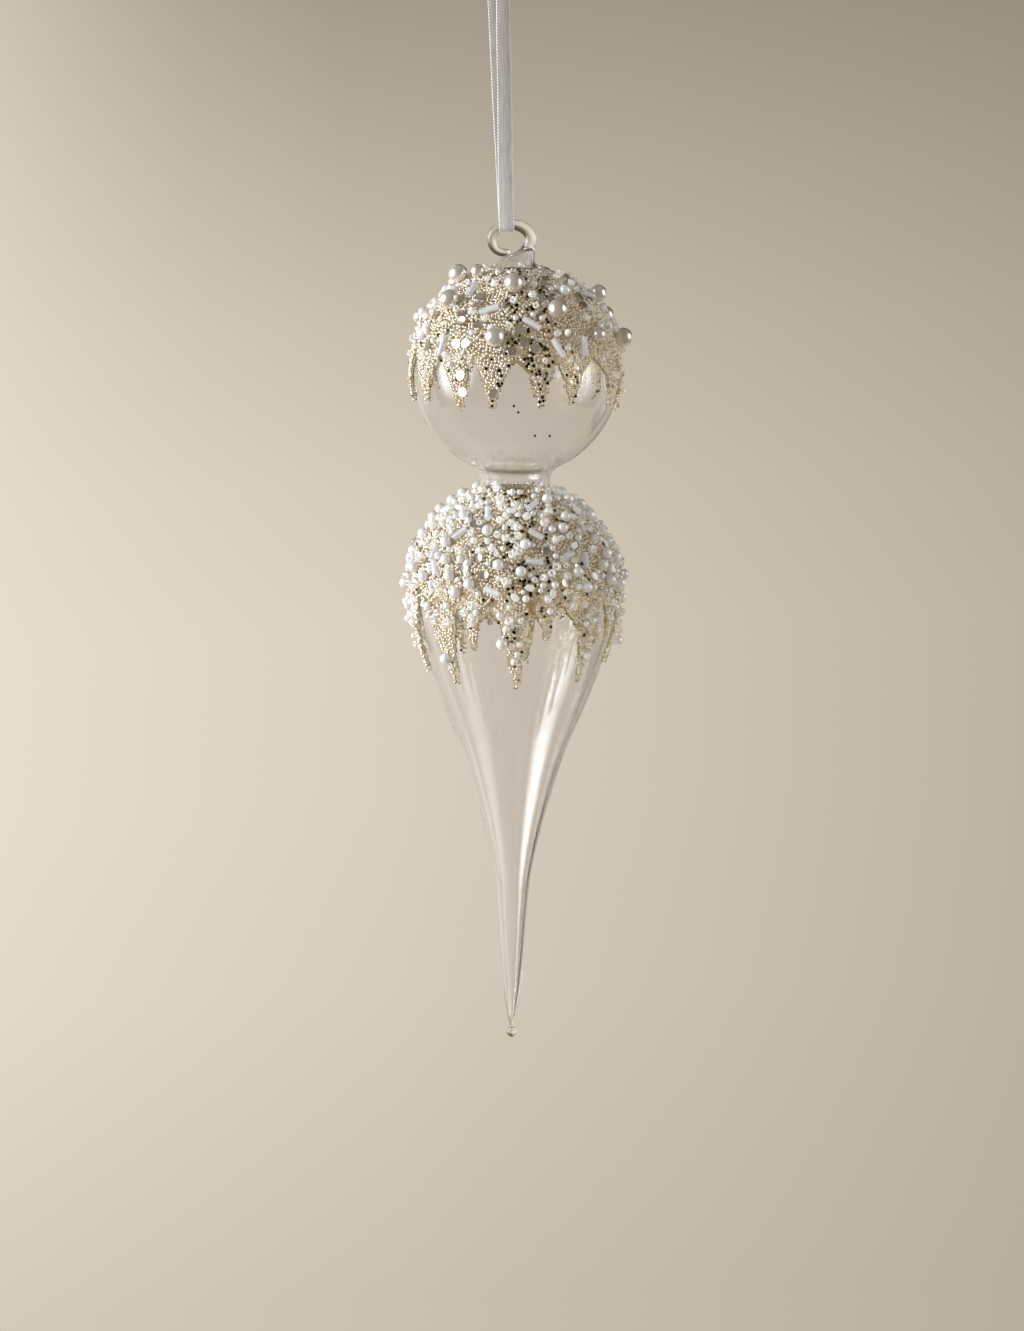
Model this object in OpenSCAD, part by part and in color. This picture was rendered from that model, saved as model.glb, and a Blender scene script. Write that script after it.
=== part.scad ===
// Icicle hanging ornament: two blown glass bubbles joined by a waist, drawn out into a long
// icicle, beaded crusts that run down in drips, a glass hook and a satin ribbon loop.
// The origin is where the loop hangs, between its strands and under the knot. +Z is up, and
// the front of the ornament faces -Y. Lengths are in millimetres.

/* [Ribbon] */
// Width of the satin ribbon
ribbon_w = 4.8; // [4:0.1:5]
// Thickness of the satin ribbon
ribbon_t = 0.4; // [0.3:0.05:0.45]
// Turn of the loop about the vertical, from the hook up to the hang point, in degrees
loop_twist = 40; // [20:1:45]

/* [Glass hook] */
// Radius of the drawn glass rod
rod_r = 1.4; // [1.2:0.05:1.45]
// Radius of the hook's flat crown, to the middle of the rod
crown_r = 7.1; // [7:0.05:7.2]
// Radius of the hook's tight sides, to the middle of the rod
side_r = 4; // [3.9:0.05:4.05]

/* [Glass body] */
// Radius of the upper ball
ball_r = 31.9; // [31:0.1:33]
// Height of the upper ball's centre above the tip
ball_z = 208.9; // [208.5:0.1:209.3]
// Radius of the waist between the ball and the bulb
waist_r = 10.8; // [10:0.1:12]
// Radius of the lower bulb, which becomes the icicle
bulb_r = 32.2; // [31.5:0.1:33]
// Height of the lower bulb's centre above the tip
bulb_z = 141.2; // [140.5:0.1:141.5]
// Thickness of the blown wall
wall = 1.2; // [0.8:0.1:1.3]
// Radius of the drop of glass at the tip
drop_r = 1.75; // [1.6:0.05:1.9]
// Lean of the glass away from plumb, which brings its centre of mass under the hook
lean = 2.4; // [2:0.1:2.8]

/* [Beadwork] */
// Thickness of the glue film under the beads
film_t = 0.25; // [0.2:0.05:0.3]
// Thickness of the layer of tiny beads
crust_t = 1; // [0.8:0.1:1.2]
// Diameter of the large pearls
big_pearl_d = 6; // [5:0.1:6.4]
// Diameter of the small pearls
pearl_d = 3.4; // [3:0.1:3.8]
// Diameter of the clear seed beads
seed_d = 2.6; // [2:0.1:2.8]
// Diameter of the bugle beads
bugle_d = 2; // [1.6:0.1:2.2]
// Length of the bugle beads on the ball
bugle_l = 6.2; // [5:0.1:6.4]
// Diameter of the sequins
sequin_d = 3; // [2.6:0.1:3.2]

/* [Hidden] */
$fn = 64;

// ---- Where the ribbon holds the hook ----
// Drop from the hang point to the middle of the rod
hang_drop = 95;
crown_top_z = 254.2;
hook_x = -1.8;
// Half of the crown's arc; the tight sides carry on from its ends
crown_half = 40;
// Where the right side straightens into the root, below its middle, in degrees
root_turn = 20;
// The arcs stop this many degrees short of each joint, inside its slight swelling
joint_gap = 1;
joint_swell = 0.08;
hold_x = -3.2;
hold_z = crown_top_z - crown_r + sqrt(pow(crown_r, 2) - pow(hold_x - hook_x, 2));

// ---- Glass: planes where one blown section meets the next ----
neck_base_r = 8.5;
neck_bore_r = 6.5;
neck_top_z = 243.6;
neck_base_z = ball_z + sqrt(pow(ball_r, 2) - pow(neck_base_r, 2));
waist_top_z = ball_z - sqrt(pow(ball_r, 2) - pow(waist_r, 2));
waist_low_z = bulb_z + sqrt(pow(bulb_r, 2) - pow(waist_r, 2));
tail_top_z = 81.4;
drop_cut_z = 3;
cavity_end_z = 18;
// The icicle's outline from its tip up to the bulb: radius and height above the tip
icicle_points = [
    [1.2, 3], [2.3, 11.8], [3.4, 24.2], [4.3, 37], [5.4, 49.7], [6.9, 58.3], [9.2, 68.4],
    [12.8, 81.4], [15.9, 90.9], [19.4, 99.4], [22.5, 106.6], [26.9, 118.2], [31, 131]
];
outline_steps = 4;

// ---- Beadwork: where it lies ----
ball_edge_z = 7;
bulb_edge_z = 0;
fringe_t = 1.1;
// Each drip: azimuth of its left side, of its right side and of its tip, and how far it runs
// down. Azimuth 0 faces the front, and 90 faces the right.
ball_drips = [
    [-102, -74, -88, 16], [-74, -47, -58, 15], [-47, -24, -33, 17], [-24, 0, -13, 15],
    [0, 22, 14, 15], [22, 46, 32, 14], [46, 72, 65, 16.5], [72, 96, 85, 18],
    [96, 116, 107, 13], [116, 138, 126, 17], [138, 158, 149, 14], [158, 180, 168, 18],
    [180, 202, 192, 13], [202, 222, 211, 17], [222, 240, 231, 14], [240, 258, 248, 16]
];
bulb_drips = [
    [-94, -62, -78, 24.5], [-62, -33, -43, 26], [-33, -14, -24, 14], [-14, 9, 0, 27],
    [9, 26, 17, 11], [26, 56, 46, 25.5], [56, 74, 65, 15], [74, 96, 85, 22],
    [96, 118, 106, 14], [118, 142, 131, 25], [142, 160, 150, 13], [160, 184, 172, 26],
    [184, 204, 195, 15], [204, 228, 216, 23], [228, 246, 238, 12], [246, 266, 257, 21]
];
// Large pearls on the ball: azimuth, height above the ball's centre, size against the largest
big_pearl_seats = [
    [-84, 27.4, 1], [-52, 21.3, 1], [-3, 26.2, 1], [26, 19.4, 1], [-12, 12.2, 1], [93, 22.2, 0.9],
    [81, 10.4, 0.95], [-60, 29.2, 0.72], [52, 12.5, 0.7], [118, 15, 1], [146, 25, 0.9],
    [158, 11, 1], [189, 20, 1], [214, 12.5, 0.9], [232, 24, 1], [255, 15, 0.8]
];
// Bugle beads laid on the ball by hand: azimuth, height, turn in the surface
hand_bugles = [
    [-45, 9.8, 90], [9, 16.5, -35], [23, 9.6, -62], [74, 23.4, -20], [-93, 9.5, 12],
    [-19, 20.2, 25], [40, 9.6, 80], [-68, 13, 78]
];
// Grey sequins clustered by hand at the front of the ball: azimuth, height
hand_sequins = [
    [4, 11.4], [9.5, 9.6], [1, 14.6], [-2.5, 8.9], [-24, 16], [-58, 9.2], [-63, 17.6], [31, 13.4]
];
// Pearls and sequins set into the drips: azimuth, height above the bulb's or ball's centre
bulb_drip_pearls = [[-7, -12], [86, -15], [-43, -18], [131, -14], [216, -13]];
ball_drip_sequins = [[-12, -3.5], [-29.5, -3.3], [-31, 1.5], [126, 0], [211, -2]];
golden_angle = 137.508;
ball_sites = 92;
bulb_sites = 196;
seat_gap = 5;
bulb_bugle_l = 5;
chip_size = [3.4, 2.4, 0.8];
crystal_h = 3.2;
bead_hole_d = 0.7;

// ---- Ribbon route: one loop from the knot, round the hook and back ----
strand_points = [
    [0.5, -0.6, 8.2], [1.1, -1.3, 5], [1.7, -2.1, 1], [1.6, -2.1, -5], [1.5, -2.2, -14],
    [1.3, -2.4, -25], [1.1, -2.5, -36], [0.9, -2.5, -48], [0.7, -2.6, -60], [0.4, -2.7, -72],
    [0.2, -2.7, -84], [0, -2.7, -95]
];
bight_points = [
    [0, -2.5, -96], [0, -1.9, -96.9], [0, -1, -97.5], [0, 0, -97.7],
    [0, 1, -97.5], [0, 1.9, -96.9], [0, 2.5, -96]
];
tail_routes = [
    [[0.5, -0.5, 13.6], [1.2, -0.8, 18], [2.6, -1.2, 23], [4.8, -1.8, 28], [7.6, -2.6, 32]],
    [[-0.5, 0.5, 13.6], [-1, 0.8, 18], [-2, 1.1, 23], [-3.4, 1.6, 28.5], [-5.2, 2.2, 34]]
];
knot_size = [7.4, 5, 6];
knot_z = 10.8;

// ---- Curves ----
function spline(a, b, c, d, t) =
    0.5 * (2 * b + (c - a) * t + (2 * a - 5 * b + 4 * c - d) * t * t
    + (3 * b - a - 3 * c + d) * t * t * t);
function smooth(p, steps) = [
    for (i = [0:len(p) - 2])
        for (k = [0:steps - 1])
            spline(p[max(i - 1, 0)], p[i], p[i + 1], p[min(i + 2, len(p) - 1)], k / steps),
    p[len(p) - 1]
];
icicle_outline = smooth(concat(icicle_points, [[bulb_r, bulb_z]]), outline_steps);
function reversed(p) = [for (i = [len(p) - 1:-1:0]) p[i]];
// The outline between two heights, moved outwards by a distance
function band(low, high, out) = [
    for (p = icicle_outline)
        if (p[1] >= low - 0.01 && p[1] <= high + 0.01) [p[0] + out, p[1]]
];

// ---- Placing things on the glass ----
// The glass stands on its own axis, then leans about the point where the ribbon holds it
module hung() {
    translate([0, 0, -hang_drop])
        rotate([0, lean, 0])
            translate([-hold_x, 0, -hold_z])
                children();
}
// +Z becomes the outward normal of a ball at an azimuth and a height above its centre
module seat(centre_z, r, azimuth, height, out) {
    translate([0, 0, centre_z])
        rotate([0, 0, azimuth])
            rotate([90 - asin(height / r), 0, 0])
                translate([0, 0, r + out])
                    children();
}
function on_ball(r, azimuth, height) =
    let (flat = sqrt(r * r - height * height))
    [flat * sin(azimuth), -flat * cos(azimuth), height];
function golden_site(i, count, low, high) = [i * golden_angle, low + (high - low) * (i + 0.5) / count];

// Each site: azimuth, height, kind from 0 to 1, turn in degrees
ball_kinds = rands(0, 1, ball_sites, 11);
ball_turns = rands(0, 180, ball_sites, 12);
ball_seats_taken = [
    for (s = concat(big_pearl_seats, hand_bugles, hand_sequins)) on_ball(ball_r, s[0], s[1])
];
ball_all = [
    for (i = [0:ball_sites - 1])
        let (s = golden_site(i, ball_sites, ball_edge_z + 2.2, neck_base_z - ball_z - 1.4))
        [s[0], s[1], ball_kinds[i], ball_turns[i]]
];
ball_scatter = [
    for (s = ball_all)
        let (at = on_ball(ball_r, s[0], s[1]))
        if (min([for (p = ball_seats_taken) norm(p - at)]) > seat_gap) s
];
bulb_kinds = rands(0, 1, bulb_sites, 21);
bulb_turns = rands(0, 180, bulb_sites, 22);
bulb_scatter = [
    for (i = [0:bulb_sites - 1])
        let (s = golden_site(i, bulb_sites, bulb_edge_z + 2.2, waist_low_z - bulb_z - 1.8))
        [s[0], s[1], bulb_kinds[i], bulb_turns[i]]
];
function kind(list, low, high) = [for (s = list) if (s[2] >= low && s[2] < high) s];

// ---- Beads, each with its foot at z = 0 ----
module pearl(d) {
    translate([0, 0, d / 2])
        sphere(d = d);
}
module seed_bead(d) {
    translate([0, 0, d / 2])
        difference() {
            sphere(d = d);
            cylinder(d = bead_hole_d, h = d + 1, center = true);
        }
}
module bugle(length, turn) {
    rotate([0, 0, turn])
        translate([0, 0, bugle_d / 2])
            rotate([0, 90, 0])
                difference() {
                    cylinder(d = bugle_d, h = length, center = true);
                    cylinder(d = bead_hole_d, h = length + 1, center = true);
                }
}
module sequin() {
    difference() {
        cylinder(d = sequin_d, h = 0.3);
        translate([0, 0, -1])
            cylinder(d = bead_hole_d, h = 3);
    }
}
module shell_chip(turn) {
    rotate([0, 0, turn])
        translate([-chip_size[0] / 2, -chip_size[1] / 2, 0])
            cube(chip_size);
}
module crystal() {
    cylinder(h = crystal_h / 2, r1 = 0.5, r2 = 1.5);
    translate([0, 0, crystal_h / 2])
        cylinder(h = crystal_h / 2, r1 = 1.5, r2 = 0.5);
}

// ---- Ribbon ----
function unit(v) = v / norm(v);
// The width of the loop turns with its height, and stays put above the hang point
function loop_angle(z) = loop_twist * (1 + max(min(z, 0), -hang_drop) / hang_drop);
function across(angle) = [cos(angle), sin(angle), 0];
// Points round a flat ribbon whose long edges are rounded off
function ribbon_ring(at, width_way, along) =
    let (
        thin = unit(cross(along, width_way)),
        wide = unit(cross(thin, along)),
        a = ribbon_w / 2,
        b = ribbon_t / 2
    )
    [
        for (p = [[a, b / 2], [a - b, b], [b - a, b], [-a, b / 2],
                  [-a, -b / 2], [b - a, -b], [a - b, -b], [a, -b / 2]])
            at + wide * p[0] + thin * p[1]
    ];
module ribbon_strip(route, angles) {
    last = len(route) - 1;
    rings = [
        for (i = [0:last])
            ribbon_ring(route[i], across(angles[i]), route[min(i + 1, last)] - route[max(i - 1, 0)])
    ];
    sides = [
        for (i = [0:last - 1])
            for (k = [0:7])
                let (a = i * 8 + k, b = i * 8 + (k + 1) % 8)
                each [[a, b, b + 8], [a, b + 8, a + 8]]
    ];
    ends = [[for (k = [7:-1:0]) k], [for (k = [0:7]) last * 8 + k]];
    polyhedron(points = [for (r = rings) each r], faces = concat(sides, ends), convexity = 6);
}
module ribbon_loop() {
    far_strand = [for (p = reversed(strand_points)) [-p[0], -p[1], p[2]]];
    route = concat(strand_points, bight_points, far_strand);
    color("lightsteelblue")
        ribbon_strip(route, [for (p = route) loop_angle(p[2])]);
}
module ribbon_knot() {
    color("lightsteelblue")
        translate([0, 0, knot_z])
            rotate([0, 0, loop_twist])
                intersection() {
                    sphere(r = 4);
                    cube(knot_size, center = true);
                }
}
module ribbon_tails() {
    color("lightsteelblue")
        for (i = [0:1])
            ribbon_strip(tail_routes[i], [for (p = tail_routes[i]) loop_twist]);
}

// ---- Glass ----
module rod_arc(centre, r, from, to) {
    translate([centre[0], 0, centre[1]])
        rotate([90, 0, 0])
            rotate([0, 0, from])
                rotate_extrude(angle = to - from)
                    translate([r, 0])
                        circle(r = rod_r);
}
module rod_joint(at) {
    translate([at[0], 0, at[1]])
        sphere(r = rod_r + joint_swell);
}
module glass_hook() {
    crown = [hook_x, crown_top_z - crown_r];
    step = crown_r - side_r;
    left = crown + step * [-sin(crown_half), cos(crown_half)];
    right = crown + step * [sin(crown_half), cos(crown_half)];
    root = right + side_r * [cos(root_turn), -sin(root_turn)];
    color("gainsboro", 0.6)
        hung() {
            rod_arc(crown, crown_r, 90 - crown_half + joint_gap, 90 + crown_half - joint_gap);
            rod_arc(left, side_r, 90 + crown_half + joint_gap, 282);
            rod_arc(right, side_r, -root_turn + joint_gap, 90 - crown_half - joint_gap);
            rod_joint(crown + crown_r * [-sin(crown_half), cos(crown_half)]);
            rod_joint(crown + crown_r * [sin(crown_half), cos(crown_half)]);
            rod_joint(root);
            difference() {
                translate([root[0], 0, root[1]])
                    rotate([0, 180 + root_turn, 0])
                        cylinder(r = rod_r, h = 8);
                translate([-20, -20, neck_top_z - 20])
                    cube([40, 40, 20]);
            }
        }
}
module top_neck() {
    low = neck_base_z;
    color("gainsboro", 0.5)
        hung()
            rotate_extrude()
                polygon([
                    [neck_bore_r, low], [neck_base_r, low], [6.9, low + 0.8], [5.8, low + 1.9],
                    [5.3, low + 2.9], [4.9, low + 3.6], [4.2, neck_top_z], [0, neck_top_z],
                    [0, neck_top_z - wall], [3.6, neck_top_z - wall], [4.2, low + 1.9],
                    [5.4, low + 0.8]
                ]);
}
// A blown ball's wall between two heights above its centre, open for a bore at the top
module ball_wall(r, low, high, top_bore) {
    difference() {
        sphere(r = r);
        sphere(r = r - wall);
        translate([-2 * r, -2 * r, high])
            cube(4 * r);
        translate([-2 * r, -2 * r, low - 4 * r])
            cube(4 * r);
        cylinder(r = top_bore, h = 2 * r);
    }
}
module upper_ball() {
    color("gainsboro", 0.4)
        hung()
            translate([0, 0, ball_z])
                ball_wall(ball_r, waist_top_z - ball_z, neck_base_z - ball_z, neck_bore_r);
}
module waist() {
    color("gainsboro", 0.5)
        hung()
            translate([0, 0, waist_low_z])
                difference() {
                    cylinder(r = waist_r, h = waist_top_z - waist_low_z);
                    translate([0, 0, -1])
                        cylinder(r = waist_r - wall, h = waist_top_z - waist_low_z + 2);
                }
}
module revolved_wall(low, high) {
    rotate_extrude()
        polygon(concat(band(low, high, 0), reversed(band(low, high, -wall))));
}
module lower_bulb() {
    color("gainsboro", 0.4)
        hung() {
            translate([0, 0, bulb_z])
                ball_wall(bulb_r, 0, waist_low_z - bulb_z, 1);
            revolved_wall(tail_top_z, bulb_z);
        }
}
module icicle_tail() {
    outside = band(0, tail_top_z, 0);
    cavity = band(cavity_end_z + 3, tail_top_z, -wall);
    color("gainsboro", 0.5)
        hung()
            rotate_extrude()
                polygon(concat([[0, drop_cut_z]], outside, reversed(cavity), [[0, cavity_end_z]]));
}
module tip_drop() {
    color("gainsboro", 0.6)
        hung()
            difference() {
                translate([0, 0, drop_r])
                    sphere(r = drop_r);
                translate([-5, -5, drop_cut_z])
                    cube(10);
            }
}

// ---- Glue and tiny beads ----
// A skin on a ball from one distance off the glass to another, above an edge height
module ball_skin(r, from, to, edge, top_r) {
    difference() {
        sphere(r = r + to);
        sphere(r = r + from);
        translate([-2 * r, -2 * r, edge - 4 * r])
            cube(4 * r);
        cylinder(r = top_r, h = 2 * r);
    }
}
module upper_glue_film() {
    color("khaki")
        hung()
            translate([0, 0, ball_z])
                ball_skin(ball_r, 0, film_t, ball_edge_z, neck_base_r);
}
module lower_glue_film() {
    color("khaki")
        hung()
            translate([0, 0, bulb_z])
                ball_skin(bulb_r, 0, film_t, bulb_edge_z, waist_r + 0.1);
}
module upper_bead_crust() {
    color("tan")
        hung()
            translate([0, 0, ball_z])
                ball_skin(ball_r, film_t, film_t + crust_t, ball_edge_z, neck_base_r + 0.4);
}
module lower_bead_crust() {
    color("tan")
        hung()
            translate([0, 0, bulb_z])
                ball_skin(bulb_r, film_t, film_t + crust_t, bulb_edge_z, waist_r + 0.5);
}
// The outline of one drip, cut straight through the skin: wide at the edge, fine at its tip
module drip_cutter(r, edge, drip) {
    middle = (drip[0] + drip[1]) / 2;
    half = 0.97 * r * sin((drip[1] - drip[0]) / 2);
    tip_x = r * sin(drip[2] - middle);
    rotate([0, 0, middle])
        rotate([90, 0, 0])
            linear_extrude(height = 2 * r)
                polygon([
                    [-half, edge], [tip_x - 0.5 * half, edge - 0.42 * drip[3]],
                    [tip_x - 0.7, edge - drip[3]], [tip_x + 0.7, edge - drip[3]],
                    [tip_x + 0.5 * half, edge - 0.42 * drip[3]], [half, edge]
                ]);
}
module upper_fringe(n) {
    color("tan")
        hung()
            translate([0, 0, ball_z])
                intersection() {
                    difference() {
                        sphere(r = ball_r + fringe_t);
                        sphere(r = ball_r);
                    }
                    union() {
                        for (i = [2 * n - 2, 2 * n - 1])
                            drip_cutter(ball_r - 0.8, ball_edge_z, ball_drips[i]);
                    }
                }
}
module lower_fringe(n) {
    low = 110;
    color("tan")
        hung()
            intersection() {
                rotate_extrude()
                    polygon(concat(band(low, bulb_z, fringe_t), reversed(band(low, bulb_z, 0))));
                translate([0, 0, bulb_z])
                    union() {
                        for (i = [2 * n - 2, 2 * n - 1])
                            drip_cutter(bulb_r, bulb_edge_z, bulb_drips[i]);
                    }
            }
}

// ---- Beads on the ball ----
foot = film_t + 0.05;
on_crust = film_t + crust_t - 0.15;
module on_upper(site, out) {
    hung()
        seat(ball_z, ball_r, site[0], site[1], out)
            children();
}
module on_lower(site, out) {
    hung()
        seat(bulb_z, bulb_r, site[0], site[1], out)
            children();
}
module upper_big_pearls() {
    color("linen")
        for (s = big_pearl_seats)
            on_upper(s, foot)
                pearl(big_pearl_d * s[2]);
}
module upper_small_pearls() {
    color("ivory")
        for (s = kind(ball_scatter, 0.62, 0.76))
            on_upper(s, foot)
                pearl(pearl_d);
}
module upper_bugles() {
    color("lavender") {
        for (s = hand_bugles)
            on_upper(s, foot + 0.25)
                bugle(bugle_l, s[2]);
        for (s = kind(ball_scatter, 0, 0.2))
            on_upper(s, foot + 0.25)
                bugle(bugle_l, s[3]);
    }
}
module upper_sequins() {
    color("gray") {
        for (s = hand_sequins)
            on_upper(s, on_crust)
                sequin();
        for (s = kind(ball_scatter, 0.2, 0.42))
            on_upper(s, on_crust)
                rotate([0, 0, s[3]])
                    for (x = [-0.53, 0.53] * sequin_d)
                        translate([x, 0, 0])
                            sequin();
    }
}
module upper_seed_beads() {
    color("honeydew")
        for (s = kind(ball_scatter, 0.42, 0.62))
            on_upper(s, foot + 0.2)
                seed_bead(seed_d);
}

// ---- Beads on the bulb ----
module lower_pearls() {
    color("ivory")
        for (s = kind(bulb_scatter, 0, 0.3))
            on_lower(s, foot)
                pearl(pearl_d);
}
module lower_bugles() {
    color("lavender")
        for (s = kind(bulb_scatter, 0.3, 0.38))
            on_lower(s, foot + 0.25)
                bugle(bulb_bugle_l, s[3]);
}
module lower_sequins() {
    color("gray")
        for (s = kind(bulb_scatter, 0.38, 0.46))
            on_lower(s, on_crust)
                sequin();
}
module lower_seed_beads() {
    color("honeydew")
        for (s = kind(bulb_scatter, 0.46, 0.78))
            on_lower(s, foot + 0.2)
                seed_bead(seed_d);
}
module lower_shell_chips() {
    color("white")
        for (s = kind(bulb_scatter, 0.78, 0.9))
            on_lower(s, foot + 0.6)
                shell_chip(s[3]);
}
module lower_crystals() {
    color("azure")
        for (s = kind(bulb_scatter, 0.9, 0.96))
            on_lower(s, foot)
                crystal();
}
module fringe_pearls() {
    color("ivory")
        for (s = bulb_drip_pearls)
            hung()
                rotate([0, 0, s[0]])
                    translate([0, -lookup(bulb_z + s[1], [for (p = icicle_outline) [p[1], p[0]]]) - 2.35,
                               bulb_z + s[1]])
                        sphere(d = pearl_d);
}
module fringe_sequins() {
    color("gray")
        for (s = ball_drip_sequins)
            on_upper(s, fringe_t - 0.15)
                sequin();
}

ribbon_loop();
ribbon_knot();
ribbon_tails();
glass_hook();
top_neck();
upper_ball();
waist();
lower_bulb();
icicle_tail();
tip_drop();
upper_glue_film();
lower_glue_film();
upper_bead_crust();
lower_bead_crust();
upper_fringe(1);  // upper_fringe_1
upper_fringe(2);  // upper_fringe_2
upper_fringe(3);  // upper_fringe_3
upper_fringe(4);  // upper_fringe_4
upper_fringe(5);  // upper_fringe_5
upper_fringe(6);  // upper_fringe_6
upper_fringe(7);  // upper_fringe_7
upper_fringe(8);  // upper_fringe_8
lower_fringe(1);  // lower_fringe_1
lower_fringe(2);  // lower_fringe_2
lower_fringe(3);  // lower_fringe_3
lower_fringe(4);  // lower_fringe_4
lower_fringe(5);  // lower_fringe_5
lower_fringe(6);  // lower_fringe_6
lower_fringe(7);  // lower_fringe_7
lower_fringe(8);  // lower_fringe_8
upper_big_pearls();
upper_small_pearls();
upper_bugles();
upper_sequins();
upper_seed_beads();
lower_pearls();
lower_bugles();
lower_sequins();
lower_seed_beads();
lower_shell_chips();
lower_crystals();
fringe_pearls();
fringe_sequins();
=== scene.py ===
"""Icicle hanging ornament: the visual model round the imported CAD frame.

Lengths in the shape code are in millimetres in the glass's own frame (z is the height above the
tip, the front faces -y), and hung() puts them in the row frame in metres.
"""

import math

import bmesh
import bpy
import numpy as np
from mathutils import Matrix


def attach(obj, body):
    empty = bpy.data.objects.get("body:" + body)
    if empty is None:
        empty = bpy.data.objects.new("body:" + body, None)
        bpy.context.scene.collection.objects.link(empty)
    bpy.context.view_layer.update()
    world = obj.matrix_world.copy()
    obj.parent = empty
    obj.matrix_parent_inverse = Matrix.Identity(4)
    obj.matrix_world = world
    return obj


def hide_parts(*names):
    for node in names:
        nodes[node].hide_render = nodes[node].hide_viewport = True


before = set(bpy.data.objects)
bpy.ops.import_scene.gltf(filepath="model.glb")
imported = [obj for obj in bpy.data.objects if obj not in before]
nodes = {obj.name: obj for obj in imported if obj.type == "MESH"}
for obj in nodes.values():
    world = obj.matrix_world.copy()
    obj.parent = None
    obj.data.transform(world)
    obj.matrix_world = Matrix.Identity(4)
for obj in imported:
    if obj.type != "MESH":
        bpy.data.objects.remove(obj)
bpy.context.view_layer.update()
rng = np.random.default_rng(40)
MM = 0.001

# ---- Sizes repeated from part.scad, in mm ----
LEAN = math.radians(2.4)
HANG_DROP = 95.0
CROWN_Z, CROWN_R, SIDE_R, HOOK_X = 254.2, 7.1, 4.0, -1.8
HOLD_X = -3.2
HOLD_Z = CROWN_Z - CROWN_R + math.sqrt(CROWN_R**2 - (HOLD_X - HOOK_X) ** 2)
BALL_R, BALL_Z = 31.9, 208.9
BULB_R, BULB_Z = 32.2, 141.2
WAIST_R, NECK_R = 10.8, 8.5
BALL_EDGE, BULB_EDGE = 7.0, 0.0
NECK_BASE_Z = BALL_Z + math.sqrt(BALL_R**2 - NECK_R**2)
WAIST_TOP_Z = BALL_Z - math.sqrt(BALL_R**2 - WAIST_R**2)
WAIST_LOW_Z = BULB_Z + math.sqrt(BULB_R**2 - WAIST_R**2)
# The icicle's radius at heights above the tip: its thinnest part is a little finer than in the CAD
ICICLE = [
    [0.78, 4.3], [2.15, 12], [3.4, 24.2], [4.3, 37], [5.4, 49.7], [6.9, 58.3], [9.2, 68.4],
    [12.8, 81.4], [15.9, 90.9], [19.4, 99.4], [22.5, 106.6], [26.9, 118.2], [31, 131],
    [BULB_R, BULB_Z],
]
# Each drip of beads: azimuth of its left side, right side and tip, and how far it runs down
BALL_DRIPS = [
    [-102, -74, -88, 16], [-74, -47, -58, 15], [-47, -24, -33, 17], [-24, 0, -13, 15],
    [0, 22, 14, 15], [22, 46, 32, 14], [46, 72, 65, 16.5], [72, 96, 85, 18],
    [96, 116, 107, 13], [116, 138, 126, 17], [138, 158, 149, 14], [158, 180, 168, 18],
    [180, 202, 192, 13], [202, 222, 211, 17], [222, 240, 231, 14], [240, 258, 248, 16],
]
BULB_DRIPS = [
    [-94, -62, -78, 24.5], [-62, -33, -43, 26], [-33, -14, -24, 14], [-14, 9, 0, 27],
    [9, 26, 17, 11], [26, 56, 46, 25.5], [56, 74, 65, 15], [74, 96, 85, 22],
    [96, 118, 106, 14], [118, 142, 131, 25], [142, 160, 150, 13], [160, 184, 172, 26],
    [184, 204, 195, 15], [204, 228, 216, 23], [228, 246, 238, 12], [246, 266, 257, 21],
]


def hung(p):
    """Points in the glass's frame, in mm, as points in the row frame, in metres."""
    p = np.asarray(p, float)
    du, dw = p[..., 0] - HOLD_X, p[..., 2] - HOLD_Z
    x = du * math.cos(LEAN) + dw * math.sin(LEAN)
    z = -HANG_DROP - du * math.sin(LEAN) + dw * math.cos(LEAN)
    return np.stack([x, p[..., 1], z], -1) * MM


def spline(points, steps):
    """A smooth curve through the points, with so many steps between two of them."""
    p = np.asarray(points, float)
    last = len(p) - 1
    out = []
    for i in range(last):
        a, b, c, d = p[max(i - 1, 0)], p[i], p[i + 1], p[min(i + 2, last)]
        for k in range(steps):
            t = k / steps
            out.append(0.5 * (2 * b + (c - a) * t + (2 * a - 5 * b + 4 * c - d) * t**2
                              + (3 * b - a - 3 * c + d) * t**3))
    out.append(p[last])
    return np.array(out)


def resample(line, step):
    """The same line with points the same distance apart."""
    line = np.asarray(line, float)
    far = np.concatenate([[0], np.cumsum(np.linalg.norm(np.diff(line, axis=0), axis=1))])
    at = np.linspace(0, far[-1], max(int(round(far[-1] / step)), 2) + 1)
    return np.stack([np.interp(at, far, line[:, k]) for k in range(line.shape[1])], -1)


def unit(v):
    """The same directions with length 1."""
    return v / np.linalg.norm(v, axis=-1, keepdims=True)


def round_angles(n):
    return np.arange(n) / n * 2 * math.pi


def linked(name, data):
    ob = bpy.data.objects.new(name, data)
    bpy.context.collection.objects.link(ob)
    return ob


# ---- Camera ----
def place_axes(ob, x, y, z, place):
    """Puts an object at a place, with its own axes along these."""
    matrix = Matrix.Identity(4)
    for row in range(3):
        matrix[row][:] = x[row], y[row], z[row], place[row]
    ob.matrix_world = matrix


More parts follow.
